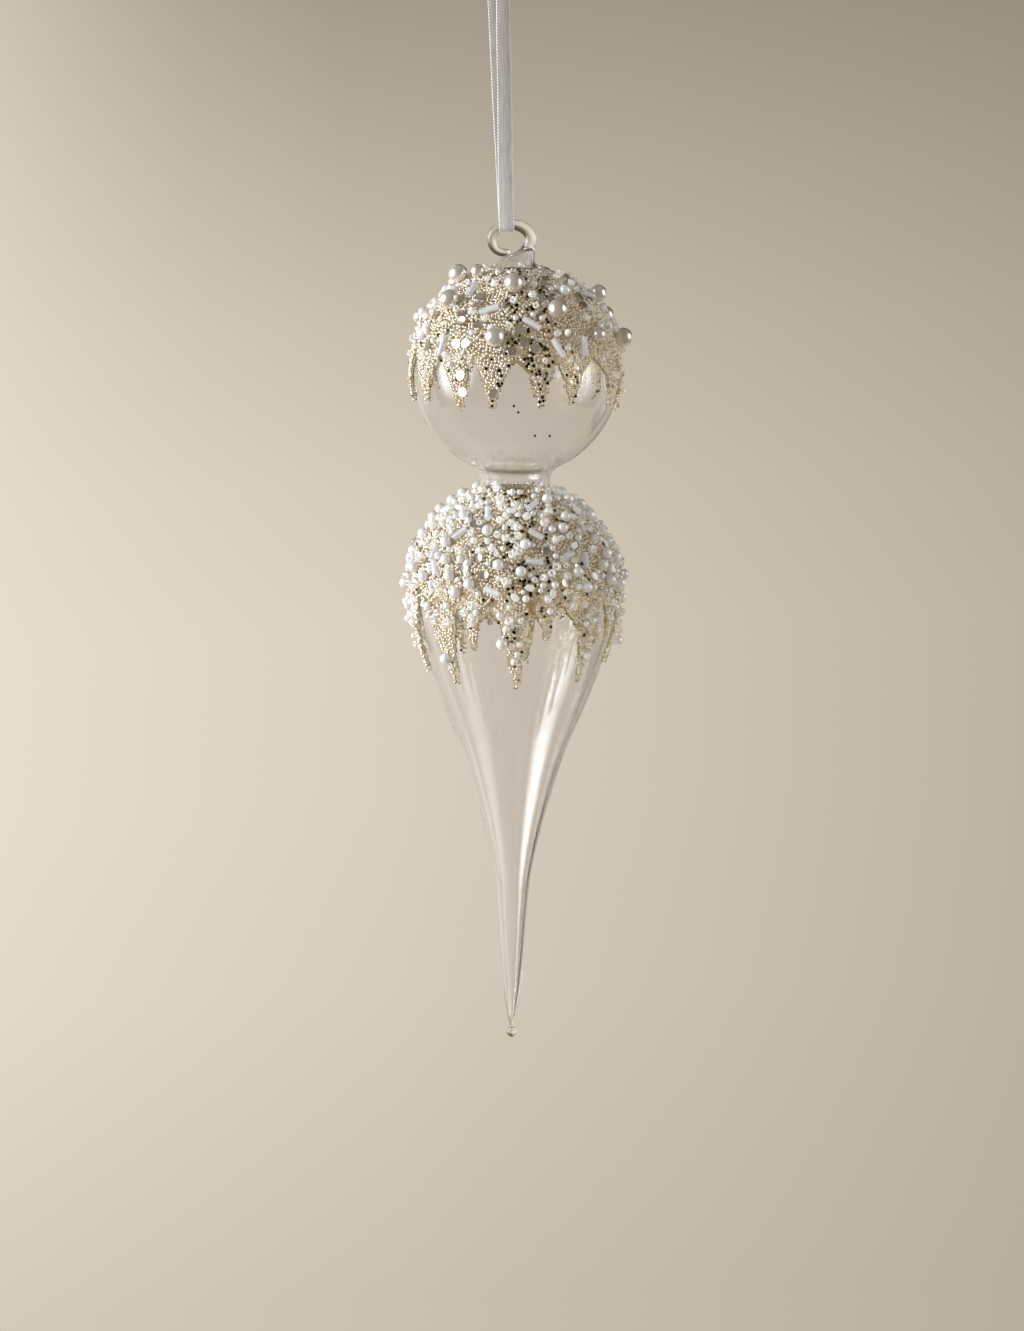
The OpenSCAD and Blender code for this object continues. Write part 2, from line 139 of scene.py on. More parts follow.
def place_camera():
    pitch, roll = math.radians(8.6), math.radians(2.05)
    ahead = np.array([0, math.cos(pitch), -math.sin(pitch)])
    level, up = np.array([1.0, 0, 0]), np.array([0, math.sin(pitch), math.cos(pitch)])
    top = up * math.cos(roll) + level * math.sin(roll)
    right = level * math.cos(roll) - up * math.sin(roll)
    data = bpy.data.cameras.new("camera")
    data.lens, data.sensor_width = 130.9, 36
    data.clip_end = 20
    cam = linked("camera", data)
    place_axes(cam, right, top, -ahead, (-0.00317, -1.48313, -0.00696))
    bpy.context.scene.camera = cam


place_camera()


# ---- Meshes ----
def mesh_object(name, verts, faces, material, smooth=True, body="ornament", uv=None, tone=None):
    """A piece that rides on a body, or with body None a part of the stage."""
    mesh = bpy.data.meshes.new(name)
    mesh.from_pydata(np.asarray(verts, float).tolist(), [], [list(map(int, f)) for f in faces])
    mesh.polygons.foreach_set("use_smooth", [smooth] * len(mesh.polygons))
    if tone is not None:
        mesh.attributes.new("tone", "FLOAT", "POINT").data.foreach_set(
            "value", np.asarray(tone, np.float32))
    if uv is not None:
        loops = np.zeros(len(mesh.loops), np.int32)
        mesh.loops.foreach_get("vertex_index", loops)
        mesh.uv_layers.new(name="UVMap").data.foreach_set(
            "uv", np.asarray(uv, np.float32)[loops].ravel())
    mesh.materials.append(material)
    mesh.update()
    ob = linked(name, mesh)
    if body:
        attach(ob, body)
    return ob


def grid_faces(rows, across, first=0, turned=False):
    """Quads between rings of points, each ring closed."""
    i, k = np.meshgrid(np.arange(rows - 1), np.arange(across), indexing="ij")
    a, b = i * across + k, i * across + (k + 1) % across
    quads = np.stack([a, b, b + across, a + across], -1).reshape(-1, 4) + first
    return (quads[:, ::-1] if turned else quads).tolist()


def ico(level):
    """Vertices and faces of a round bead of radius 1."""
    bm = bmesh.new()
    bmesh.ops.create_icosphere(bm, subdivisions=level, radius=1)
    bm.verts.ensure_lookup_table()
    verts = np.array([v.co[:] for v in bm.verts])
    faces = [[v.index for v in f.verts] for f in bm.faces]
    bm.free()
    return verts, faces


def lathe(profile, across=20):
    """A closed ring shape: a closed outline of [radius, z] turned about z."""
    a = round_angles(across)
    rows = [np.stack([r * np.cos(a), r * np.sin(a), np.full(across, z)], -1) for r, z in profile]
    verts = np.concatenate(rows)
    n = len(profile)
    faces = []
    for i in range(n):
        for k in range(across):
            j, m = (i + 1) % n, (k + 1) % across
            faces.append([i * across + k, i * across + m, j * across + m, j * across + k])
    return verts, faces


def copies(shape, places, turns, sizes):
    """One mesh of many copies of a shape. places are in metres; turns are 3x3 per copy, whose
    columns are the shape's axes; sizes are in metres, one or three to a copy. The last result is
    each copy's random tone, repeated for its vertices."""
    verts, faces = shape
    places = np.asarray(places, float).reshape(-1, 3)
    n = len(places)
    sizes = np.asarray(sizes, float)
    sizes = np.repeat(sizes[:, None], 3, 1) if sizes.ndim == 1 else sizes
    scaled = verts[None] * sizes[:, None, :]
    if turns is not None:
        scaled = np.einsum("nij,nvj->nvi", np.asarray(turns), scaled)
    out = (scaled + places[:, None, :]).reshape(-1, 3)
    step = len(verts)
    every = []
    for size in {len(f) for f in faces}:
        same = np.array([f for f in faces if len(f) == size])
        every += (same[None] + (np.arange(n) * step)[:, None, None]).reshape(-1, size).tolist()
    return out, every, np.repeat(rng.random(n), step)


def frames(normals, along=None):
    """3x3 matrices whose third axis is the normal and first axis runs along a direction."""
    n = unit(np.asarray(normals, float))
    a = rng.normal(size=n.shape) if along is None else np.asarray(along, float)
    x = unit(a - (a * n).sum(1, keepdims=True) * n)
    return np.stack([x, np.cross(n, x), n], -1)


# ---- Materials ----
class Nodes:
    """A new material and its node tree."""

    def __init__(self, name):
        self.material = bpy.data.materials.new(name)
        self.material.use_nodes = True
        self.tree = self.material.node_tree
        self.tree.nodes.clear()
        self.out = self.node("OutputMaterial")

    def node(self, kind, **settings):
        """A node with its sockets and settings filled in, by names with _ for a space."""
        n = self.tree.nodes.new("ShaderNode" + kind)
        for key, value in settings.items():
            socket = key.replace("_", " ")
            if socket in n.inputs.keys():
                n.inputs[socket].default_value = value
            else:
                setattr(n, key, value)
        return n

    def join(self, a, out, b, into):
        self.tree.links.new(a.outputs[out], b.inputs[into])

    def ramp(self, source, out, stops):
        """A colour ramp over a value."""
        r = self.node("ValToRGB")
        while len(r.color_ramp.elements) < len(stops):
            r.color_ramp.elements.new(0.5)
        for e, (pos, colour) in zip(r.color_ramp.elements, stops):
            e.position = pos
            e.color = (*colour, 1)
        self.join(source, out, r, "Fac")
        return r

    def texture(self, kind, space="Object", stretch=None, **settings):
        """A texture on object or UV coordinates, stretched if asked."""
        source = self.node("TexCoord")
        if stretch:
            drawn = self.node("Mapping", Scale=stretch)
            self.join(source, space, drawn, "Vector")
            source, space = drawn, "Vector"
        n = self.node(kind, **settings)
        self.join(source, space, n, "Vector")
        return n

    def mixed(self, source, out, first, second, surface):
        """The surface is a mix of two shaders' outputs by a value."""
        mix = self.node("MixShader")
        self.join(source, out, mix, "Fac")
        self.join(first, surface[0], mix, 1)
        self.join(second, surface[1], mix, 2)
        self.join(mix, "Shader", self.out, "Surface")


class Tree(Nodes):
    """The same with a Principled shader on its surface."""

    def __init__(self, name, **sockets):
        super().__init__(name)
        self.shader = self.node("BsdfPrincipled", **sockets)
        self.join(self.shader, "BSDF", self.out, "Surface")

    def base(self, source, out, stops):
        self.join(self.ramp(source, out, stops), "Color", self.shader, "Base Color")

    def noise(self, scale):
        return self.texture("TexNoise", Scale=scale, Detail=2.0)

    def bump(self, source, out, distance, strength=1.0):
        b = self.node("Bump", Strength=strength, Distance=distance)
        self.join(source, out, b, "Height")
        self.join(b, "Normal", self.shader, "Normal")

    def lamps_pass(self, tint):
        """Light from the lamps reaches what is behind the glass."""
        clear = self.node("BsdfTransparent", Color=(*tint, 1))
        self.mixed(self.node("LightPath"), "Is Shadow Ray", self.shader, clear, ("BSDF", "BSDF"))


def bead_tree(name, stops, rough, bump=0.0, **sockets):
    """Colour by bead, from the tone that each bead carries, and slightly cloudy."""
    t = Tree(name, **sockets)
    t.base(t.node("Attribute", attribute_name="tone"), "Fac", stops)
    cloud = t.noise(900)
    spread = t.node("MapRange", To_Min=max(rough - 0.06, 0.02), To_Max=rough + 0.08)
    t.join(cloud, "Fac", spread, "Value")
    t.join(spread, "Result", t.shader, "Roughness")
    if bump:
        t.bump(cloud, "Fac", bump)
    return t


def bead_material(*settings, **sockets):
    return bead_tree(*settings, **sockets).material


def glass_material():
    t = Tree("blown_glass", IOR=1.46, Roughness=0.0, Base_Color=(0.962, 0.962, 0.962, 1),
             Transmission_Weight=1.0)
    # The ripples are drawn out along the icicle
    ripple = t.texture("TexNoise", stretch=(260, 260, 9), Scale=1.0, Detail=2.0)
    t.bump(ripple, "Fac", 0.00012, 0.35)
    t.lamps_pass((0.94, 0.94, 0.94))
    return t.material


def glue_material():
    t = Tree("clear_glue", IOR=1.42, Roughness=0.05, Transmission_Weight=0.9)
    t.base(t.noise(160), "Fac", [(0.35, (0.80, 0.68, 0.42)), (0.7, (0.97, 0.94, 0.86))])
    t.bump(t.noise(700), "Fac", 0.0003, 0.5)
    t.lamps_pass((0.9, 0.87, 0.8))
    return t.material


def clear_material(*settings, **sockets):
    t = bead_tree(*settings, IOR=1.5, **sockets)
    t.lamps_pass((0.75, 0.77, 0.76))
    return t.material


GLASS = glass_material()
GLUE = glue_material()
MICRO = bead_material(
    "champagne_microbeads",
    [(0.0, (0.66, 0.54, 0.41)), (0.3, (0.81, 0.71, 0.57)), (0.65, (0.91, 0.84, 0.72)),
     (1.0, (0.97, 0.94, 0.89))],
    0.28, Metallic=0.65)
# Most flakes are painted black, a painted reflection of a dark room in mirror flakes, and the few
# with the highest tones are real mirrors
FLAKE = bead_material(
    "mirror_flakes",
    [(0, (0.008, 0.008, 0.008)), (0.84, (0.03, 0.028, 0.025)), (0.86, (0.6, 0.58, 0.56)),
     (1, (0.7, 0.68, 0.66))],
    0.12, Metallic=1.0)
SEQUIN = bead_material(
    "taupe_sequins", [(0, (0.66, 0.57, 0.46)), (1, (0.92, 0.85, 0.74))],
    0.18, 0.00004, Metallic=0.9)
PEARL = bead_material(
    "pearl", [(0, (0.80, 0.70, 0.58)), (0.5, (0.87, 0.79, 0.69)), (1, (0.93, 0.88, 0.81))],
    0.2, 0.00003, Metallic=0.68, Coat_Weight=0.5, Coat_Roughness=0.12)
WHITE_PEARL = bead_material(
    "white_pearl", [(0, (0.79, 0.76, 0.72)), (1, (0.90, 0.89, 0.90))],
    0.18, 0.00003, Metallic=0.2, Coat_Weight=0.8, Coat_Roughness=0.08)
BUGLE = clear_material(
    "iridescent_bugles", [(0, (0.80, 0.79, 0.80)), (1, (0.95, 0.95, 0.96))], 0.07,
    Transmission_Weight=0.6, Thin_Film_Thickness=360, Thin_Film_IOR=1.6)
SEED = clear_material(
    "clear_seed_beads", [(0, (0.94, 0.91, 0.86)), (1, (0.99, 0.98, 0.97))], 0.07,
    Transmission_Weight=0.5)
CRYSTAL = clear_material(
    "crystal", [(0, (0.93, 0.95, 0.98)), (1, (1, 1, 1))], 0.02, Transmission_Weight=0.95)
SHELL = bead_material(
    "mother_of_pearl", [(0, (0.80, 0.78, 0.76)), (1, (0.93, 0.94, 0.94))],
    0.28, 0.00005, Coat_Weight=0.5)


def satin_material():
    t = Tree("grey_satin", Roughness=0.42, Sheen_Weight=0.35, Anisotropic=0.5)
    fine = t.texture("TexNoise", "UV", (2600, 140, 1), Scale=1.0, Detail=2.0)
    # Painted shade across the width: the ribbon is coloured lighter towards one edge and darker
    # towards the other, on top of the weave's random tone
    split, where = t.node("SeparateXYZ"), t.node("TexCoord")
    t.join(where, "UV", split, "Vector")
    side = t.node("MapRange", From_Min=-0.0024, From_Max=0.0024, To_Min=-0.25, To_Max=0.3)
    t.join(split, "X", side, "Value")
    shade = t.node("Math", operation="ADD")
    t.join(fine, "Fac", shade, 0)
    t.join(side, "Result", shade, 1)
    t.base(shade, "Value", [(0.2, (0.74, 0.74, 0.75)), (0.5, (0.57, 0.56, 0.57)),
                            (0.85, (0.40, 0.385, 0.38))])
    ribs = t.texture("TexWave", "UV", (1, 1500, 1), bands_direction="Y", Scale=1.0,
                     Distortion=0.0)
    both = t.node("Math", operation="ADD")
    t.join(fine, "Fac", both, 0)
    t.join(ribs, "Fac", both, 1)
    t.bump(both, "Value", 0.00005, 0.6)
    return t.material


SATIN = satin_material()
# The woven edge is coloured by the tone that the ribbon loop gives it: painted highlight on each
# loop's crest, painted shade in the gaps between loops
EDGE = bead_material("picot_edge", [(0, (0.36, 0.35, 0.34)), (0.5, (0.8, 0.79, 0.79)),
                                    (1, (0.98, 0.97, 0.97))], 0.4)

# ---- Ribbon: the free cord comes first ----
RIBBON_W, RIBBON_T, PICOT = 4.8, 0.34, 0.93
RIBBON_STEP = 0.18
TWIST = math.radians(40)
KNOT_Z = 10.8
STRAND = [
    [0.5, -0.6, 8.2], [1.1, -1.3, 5], [1.7, -2.1, 1], [1.6, -2.1, -5], [1.5, -2.2, -14],
    [1.3, -2.4, -25], [1.1, -2.5, -36], [0.9, -2.5, -48], [0.7, -2.6, -60], [0.4, -2.6, -72],
    [0.2, -2.5, -84], [0, -2.15, -94],
]
BIGHT = [
    [0, -2.03, -95.3], [0, -1.7, -96.2], [0, -0.95, -96.85], [0, 0, -97.05],
    [0, 0.95, -96.85], [0, 1.7, -96.2], [0, 2.03, -95.3],
]


def loop_angle(z):
    """The ribbon lies flat on the hook's rod at the bight, and turns on its way up."""
    return TWIST * (1 + np.clip(z, -HANG_DROP, 0) / HANG_DROP)


def ribbon_rings(route, angle):
    """Rings round a ribbon on a route, the places across and along it for each point, and how
    far along each ring is."""
    way = unit(np.gradient(route, axis=0))
    wide = np.stack([np.cos(angle), np.sin(angle), np.zeros(len(route))], -1)
    thin = unit(np.cross(way, wide))
    wide = np.cross(thin, way)
    far = np.concatenate([[0], np.cumsum(np.linalg.norm(np.diff(route, axis=0), axis=1))])
    rings, marks = [], []
    for i in range(len(route)):
        s = satin_section(far[i])
        rings.append(route[i] + wide[i] * s[:, :1] + thin[i] * s[:, 1:])
        marks.append(np.stack([s[:, 0] * MM, np.full(len(s), far[i] * MM)], -1))
    return np.concatenate(rings) * MM, np.concatenate(marks), far


def satin_section(s):
    """The ribbon's outline across, in mm, after so far along it: a flat body, and a cord with
    woven loops on each edge."""
    a, b = RIBBON_W / 2, RIBBON_T / 2
    nub = 0.5 + 0.5 * math.cos(2 * math.pi * s / PICOT)
    edge = b * (0.75 + 0.75 * nub)
    reach = a - 0.18 + 0.16 * nub
    x = [-reach, -a + 0.18, -a + 0.42, -a + 0.62, -1.1, 0, 1.1, a - 0.62, a - 0.42, a - 0.18, reach]
    y = [0, edge, edge * 0.8, b * 0.62, b * 0.8, b * 0.85, b * 0.8, b * 0.62, edge * 0.8, edge, 0]
    upper = np.stack([x, y], -1)
    lower = np.stack([x[1:-1], [-v for v in y[1:-1]]], -1)[::-1]
    return np.concatenate([upper[::-1], lower[::-1]])


SECTION = len(satin_section(0))


def capped(n):
    """Faces round n rings of the ribbon, and one over each end."""
    ends = [list(range(SECTION))[::-1], list(range((n - 1) * SECTION, n * SECTION))]
    return grid_faces(n, SECTION) + ends


def ribbon_piece(name, verts, faces, uv, node, tone=None):
    ob = mesh_object(name, verts, faces, SATIN, body="ribbon", uv=uv, tone=tone)
    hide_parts(node)
    return ob


def ribbon_loop():
    far_side = [[-x, -y, z] for x, y, z in reversed(STRAND)]
    route = resample(spline(STRAND + BIGHT + far_side, 10), RIBBON_STEP)
    verts, uv, far = ribbon_rings(route, loop_angle(route[:, 2]))
    # Painted highlight and shade: the tone is highest at each nub's crest and lowest between nubs,
    # in step with the loops
    tone = 0.5 + 0.5 * np.cos(2 * math.pi * np.repeat(far, SECTION) / PICOT)
    ob = ribbon_piece("ribbon_satin_loop", verts, capped(len(far)), uv, "ribbon_loop", tone)
    ob.data.materials.append(EDGE)
    # The outermost faces on each side are the woven edge
    half = SECTION // 2
    columns = [0, 1, half - 2, half - 1, half, half + 1, SECTION - 2, SECTION - 1]
    index = np.zeros(len(ob.data.polygons), np.int32)
    sides = (len(far) - 1) * SECTION
    index[:sides] = np.isin(np.arange(sides) % SECTION, columns)
    ob.data.polygons.foreach_set("material_index", index)
    return ob, route * MM, far[-1] * MM


def ribbon_knot():
    """An overhand knot: one fat turn of folded ribbon over and under itself, in its box."""
    along, across = 240, 16
    t = round_angles(along)
    x = np.sin(t) + 2 * np.sin(2 * t)
    y = np.cos(t) - 2 * np.cos(2 * t)
    z = -np.sin(3 * t)
    a, b, c = x / 3 * 2.5, z * 1.35, y / 3 * 2.35
    route = np.stack([a * math.cos(TWIST) - b * math.sin(TWIST),
                      a * math.sin(TWIST) + b * math.cos(TWIST), c + KNOT_Z], -1)
    way = unit(np.roll(route, -1, 0) - np.roll(route, 1, 0))
    side = unit(np.cross(way, route - np.array([0, 0, KNOT_Z])))
    thin = np.cross(side, way)
    k = round_angles(across)
    fold = 1 + 0.12 * np.cos(4 * k)
    wide, deep = 1.15 * np.cos(k) * fold, 0.62 * np.sin(k) * fold
    verts = (route[:, None] + side[:, None] * wide[None, :, None]
             + thin[:, None] * deep[None, :, None]).reshape(-1, 3) * MM
    faces = grid_faces(along, across, turned=True)
    last = (along - 1) * across
    faces += [[i, (i + 1) % across, last + (i + 1) % across, last + i] for i in range(across)]
    uv = np.stack([np.tile(wide, along) * MM,
                   np.repeat(np.arange(along) * 0.2 * MM, across)], -1)
    return ribbon_piece("ribbon_overhand_knot", verts, faces, uv, "ribbon_knot")


def ribbon_tails():
    routes = [
        [[0.5, -0.5, 13.2], [1.2, -0.8, 18], [2.6, -1.2, 23], [4.8, -1.8, 28], [7.4, -2.5, 31.8]],
        [[-0.5, 0.5, 13.2], [-1, 0.8, 18], [-2, 1.1, 23], [-3.4, 1.6, 28.5], [-5.1, 2.1, 33.6]],
    ]
    verts, faces, marks = [], [], []
    for points in routes:
        route = resample(spline(points, 10), RIBBON_STEP)
        ring, uv, _ = ribbon_rings(route, np.full(len(route), TWIST))
        # The cut end slants
        ring[-SECTION:] += uv[-SECTION:, :1] * 0.35 * np.array([[0.5, -0.1, 0.8]])
        first = sum(len(v) for v in verts)
        faces += [[i + first for i in f] for f in capped(len(route))]
        verts.append(ring)
        marks.append(uv)
    return ribbon_piece("ribbon_cut_tails", np.concatenate(verts), faces, np.concatenate(marks),
                        "ribbon_tails")


knot, tails = ribbon_knot(), ribbon_tails()
loop, loop_path, loop_length = ribbon_loop()


# ---- Blown glass: one wall from the tip up into the hook, with its hollow inside ----
def arc(centre_z, r, low, high, step=1.5):
    """Points [radius, z] on a circle between two angles above its level."""
    n = max(int(math.radians(high - low) * r / step), 4)
    a = np.radians(np.linspace(low, high, n))
    return np.stack([r * np.cos(a), centre_z + r * np.sin(a)], -1)


def soften(line, corners, passes, reach):
    """Rounds a resampled outline near some heights."""
    line = line.copy()
    near = np.min([np.abs(line[:, 1] - c) for c in corners], axis=0) < reach
    near[0] = near[-1] = False
    for _ in range(passes):
        mean = (np.roll(line, 1, 0) + np.roll(line, -1, 0)) / 2
        line[near] = 0.5 * line[near] + 0.5 * mean[near]
    return line


def outer_outline():
    drop = arc(1.75, 1.72, -88, 58, 0.3)
    icicle = spline(ICICLE, 10)
    bulb = arc(BULB_Z, BULB_R, 1, math.degrees(math.asin((WAIST_LOW_Z - BULB_Z) / BULB_R)))
    low, high = np.degrees(np.arcsin((np.array([WAIST_TOP_Z, NECK_BASE_Z]) - BALL_Z) / BALL_R))
    tube = np.array([[WAIST_R - 0.1, WAIST_LOW_Z + 2.4], [WAIST_R - 0.15, WAIST_TOP_Z - 2.2]])
    ball = arc(BALL_Z, BALL_R, low, high)
    line = resample(np.concatenate([drop, icicle, bulb, tube, ball, [[6.9, 240.7]]]), 0.9)
    return soften(line, [WAIST_LOW_Z, WAIST_TOP_Z, NECK_BASE_Z], 10, 3.2)


OUTLINE = outer_outline()
ACROSS = 96


def round_rings(line):
    """Each ring's left and right side, from an outline of [radius, z]."""
    return [((-r, z), (r, z)) for r, z in line]


def hook_rings():
    """The neck closes aslant and draws out into a rod, which curls into the hook's eye."""
    sides = [((-6.15, 241.6), (6.15, 241.6)), ((-5.6, 242.8), (5.7, 243.1)),
             ((-4.2, 243.9), (5.5, 244.2)), ((-2.3, 244.8), (5.4, 245.1)),
             ((-0.4, 245.7), (5.35, 245.9)), ((0.9, 246.7), (5.45, 246.7)),
             ((1.7, 247.7), (5.72, 247.5))]
    crown = np.array([HOOK_X, CROWN_Z - CROWN_R])
    step = CROWN_R - SIDE_R
    turn = math.radians(40)
    left = crown + step * np.array([-math.sin(turn), math.cos(turn)])
    right = crown + step * np.array([math.sin(turn), math.cos(turn)])
    path = [(right, SIDE_R, a) for a in np.linspace(-18, 50, 14)]
    path += [(crown, CROWN_R, a) for a in np.linspace(54, 130, 16)]
    end_angle = 281
    path += [(left, SIDE_R, a) for a in np.linspace(136, end_angle, 28)]
    for i, (centre, r, angle) in enumerate(path):
        a = math.radians(angle)
        out = np.array([math.cos(a), math.sin(a)])
        share = i / (len(path) - 1)
        half = np.interp(share, [0, 0.3, 0.6, 1], [1.98, 1.75, 1.5, 1.15])
        sides.append((centre + (r - half) * out, centre + (r + half) * out))
    # The rod's end is rounded
    a = math.radians(end_angle)
    out, on = np.array([math.cos(a), math.sin(a)]), np.array([-math.sin(a), math.cos(a)])
    for shift, half in [(0.35, 1.08), (0.62, 0.85), (0.78, 0.5)]:
        at = left + SIDE_R * out + shift * on
        sides.append((at - half * out, at + half * out))
    return sides


def rings_to_points(sides):
    """Round rings of points, each across from its left side to its right side."""
    a = round_angles(ACROSS)
    out = []
    for low, high in sides:
        low, high = np.array(low), np.array(high)
        centre, half = (low + high) / 2, (high - low) / 2
        r = np.linalg.norm(half)
        out.append(np.stack([centre[0] + half[0] * np.cos(a), r * np.sin(a),
                             centre[1] + half[1] * np.cos(a)], -1))
    return np.concatenate(out)


def fan(verts, faces, start, point, turned):
    """Closes the ring of vertices that begins at start to a point."""
    verts = np.concatenate([verts, [point]])
    for k in range(ACROSS):
        triangle = [start + k, start + (k + 1) % ACROSS, len(verts) - 1]
        faces.append(triangle[::-1] if turned else triangle)
    return verts


def blown_glass():
    hook = hook_rings()
    outer = round_rings(OUTLINE) + hook
    points = rings_to_points(outer)
    faces = grid_faces(len(outer), ACROSS)
    last = len(points) - ACROSS
    end = points[last:].mean(0) + np.array([0.12, 0, 0.02])
    points = fan(points, faces, 0, [0, 0, 0], True)
    points = fan(points, faces, last, end, False)
    # The hollow, a wall's thickness inside: it runs on as a fine bore almost to the drop
    wall, low_end, high_end = 0.95, 6.5, 240.6
    line = OUTLINE[OUTLINE[:, 1] > low_end]
    way = unit(np.gradient(line, axis=0))
    thin = np.minimum(wall, 0.5 * line[:, :1])
    inner = line - thin * np.stack([way[:, 1], -way[:, 0]], -1)
    inner = inner[inner[:, 1] < high_end]
    r0, z0 = inner[0]
    close = [[r0 * t**0.6, z0 - 1.3 * (1 - t)] for t in (0.1, 0.35, 0.7)]
    sides = round_rings(np.concatenate([close, inner]))
    for low, high in hook[:6]:
        low, high = np.array(low), np.array(high)
        away, down = wall * unit(high - low), [0, -0.35]
        sides.append((low + away + down, high - away + down))
    sides.append(([2.75, 247.0], [4.3, 246.9]))
    start = len(points)
    faces += grid_faces(len(sides), ACROSS, start, True)
    points = np.concatenate([points, rings_to_points(sides)])
    last = len(points) - ACROSS
    points = fan(points, faces, start, [0, 0, close[0][1] - 0.15], False)
    points = fan(points, faces, last, [3.55, 0, 247.2], True)
    ob = mesh_object("blown_glass_body", hung(points), faces, GLASS)
    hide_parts("glass_hook", "top_neck", "upper_ball", "waist", "lower_bulb", "icicle_tail",
                "tip_drop")


blown_glass()


# ---- Where beads lie on the glass ----
class Side:
    """The beaded surface of the ball or the bulb, from its top edge down past its drips."""

    def __init__(self, name, centre, r, edge, top_r, drips, cut_r):
        self.name, self.centre, self.edge, self.r = name, centre, edge, r
        self.drips, self.cut_r = drips, cut_r
        line = OUTLINE[(OUTLINE[:, 1] > centre + edge - 34) & (OUTLINE[:, 1] < centre + r)]
        line = line[::-1]
        line = line[line[:, 0] >= top_r]
        if name == "upper":
            line = line[line[:, 1] > BALL_Z - 20]
        self.line = resample(line, 0.1)

    def outline(self, s):
        """Radius, height and outward normal at so many mm down from the top."""
        i = np.clip((np.asarray(s) / 0.1).astype(int), 1, len(self.line) - 2)
        way = unit(self.line[i + 1] - self.line[i - 1])
        return self.line[i, 0], self.line[i, 1], -way[..., 1], way[..., 0]

    def points(self, azimuth, s, out):
        """Points in the glass's frame that lie out from the glass, and the normals there."""
        r, z, nr, nz = self.outline(s)
        a = np.radians(azimuth)
        flat = np.stack([np.sin(a), -np.cos(a), np.zeros_like(a)], -1)
        up = np.array([0, 0, 1.0])
        normal = flat * nr[..., None] + up * nz[..., None]
        return flat * r[..., None] + up * z[..., None] + normal * np.asarray(out)[..., None], normal

    def cover(self, azimuth, s):
        """How far inside the beaded area each place is, in mm, and which drip it is in."""
        r, z, _, _ = self.outline(s)
        above = z - self.centre - self.edge
        best, which = above.copy(), np.full(above.shape, -1)
        for i, (left, right, tip, drop) in enumerate(self.drips):
            middle = (left + right) / 2
            turn = np.radians((azimuth - middle + 180) % 360 - 180)
            x = r * np.sin(turn)
            half = 0.97 * self.cut_r * math.sin(math.radians((right - left) / 2))
            tip_x = self.cut_r * math.sin(math.radians(tip - middle))
            level = np.interp(-above, [0, 0.42 * drop, drop], [0, 1, 2])
            lows = [-half, tip_x - 0.5 * half, tip_x - 0.7]
            highs = [half, tip_x + 0.5 * half, tip_x + 0.7]
            low, high = np.interp(level, [0, 1, 2], lows), np.interp(level, [0, 1, 2], highs)
            inside = np.minimum(np.minimum(x - low, high - x) * 0.93, drop + above)
            inside = np.where(np.abs(turn) < math.pi / 2, inside, -9.0)
            take = (inside > best) & (above < 0)
            best, which = np.where(take, inside, best), np.where(take, i, which)
        return best, which

    def length(self):
        return (len(self.line) - 1) * 0.1


upper = Side("upper", BALL_Z, BALL_R, BALL_EDGE, NECK_R - 0.9, BALL_DRIPS, BALL_R - 0.8)
lower = Side("lower", BULB_Z, BULB_R, BULB_EDGE, WAIST_R - 0.02, BULB_DRIPS, BULB_R)


def wobble(azimuth, z, size, seed):
    """A smooth random wave over the surface, for uneven edges."""
    wave = np.random.default_rng(seed)
    total = np.zeros_like(azimuth)
    for _ in range(7):
        turns, rise, phase = wave.integers(6, 40), wave.normal() * 0.5, wave.random() * 6.28
        total = total + np.sin(np.radians(azimuth) * turns + z * rise + phase)
    return total / 4 * size


def glue(side, node):
    """The clear glue under the beads: a thin skin that feathers out past them."""
    count = int(2 * math.pi * side.r / 0.62)
    rows = int(side.length() / 0.6)
    s = np.repeat(np.linspace(0.1, side.length() - 0.2, rows)[:, None], count, 1)
    azimuth = np.repeat(np.arange(count)[None] * 360 / count, rows, 0)
    z = side.outline(s)[1]
    # Near the drips' roots the glue also fills the narrow gaps between them
    root = np.exp(-(np.clip(side.centre + side.edge - z, 0, None) / 8) ** 2)
    cover = side.cover(azimuth, s)[0] + 0.3 + 0.75 * root + wobble(azimuth, z, 0.5, 5)
    t = np.clip(cover / 1.4, 0, 1)
    thick = 0.03 + 0.27 * t * t * (3 - 2 * t) * (1 + 0.25 * wobble(azimuth, z, 1, 6))
    keep = cover > 0
    top, _ = side.points(azimuth, s, thick)
    low, _ = side.points(azimuth, s, np.full_like(thick, 0.012))
    verts = hung(np.concatenate([top.reshape(-1, 3), low.reshape(-1, 3)]))
    n = rows * count
    quads = []
    m = (np.arange(count) + 1) % count
    for i in range(rows - 1):
        ok = keep[i] & keep[i][m] & keep[i + 1] & keep[i + 1][m]
        first, second = i * count, (i + 1) * count
        quads += [(first + k, second + k, second + m[k], first + m[k]) for k in np.nonzero(ok)[0]]
    edges = dict.fromkeys(pair for q in quads for pair in zip(q, q[1:] + q[:1]))
    faces = [list(q) for q in quads] + [[v + n for v in q[::-1]] for q in quads]
    faces += [[b, a, a + n, b + n] for a, b in edges if (b, a) not in edges]
    used = np.unique([v for f in faces for v in f])
    back = np.full(2 * n, -1)
    back[used] = np.arange(len(used))
    faces = [[back[v] for v in f] for f in faces]
    ob = mesh_object(f"{side.name}_glue_skin", verts[used], faces, GLUE)
    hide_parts(node)


glue(upper, "upper_glue_film")
glue(lower, "lower_glue_film")


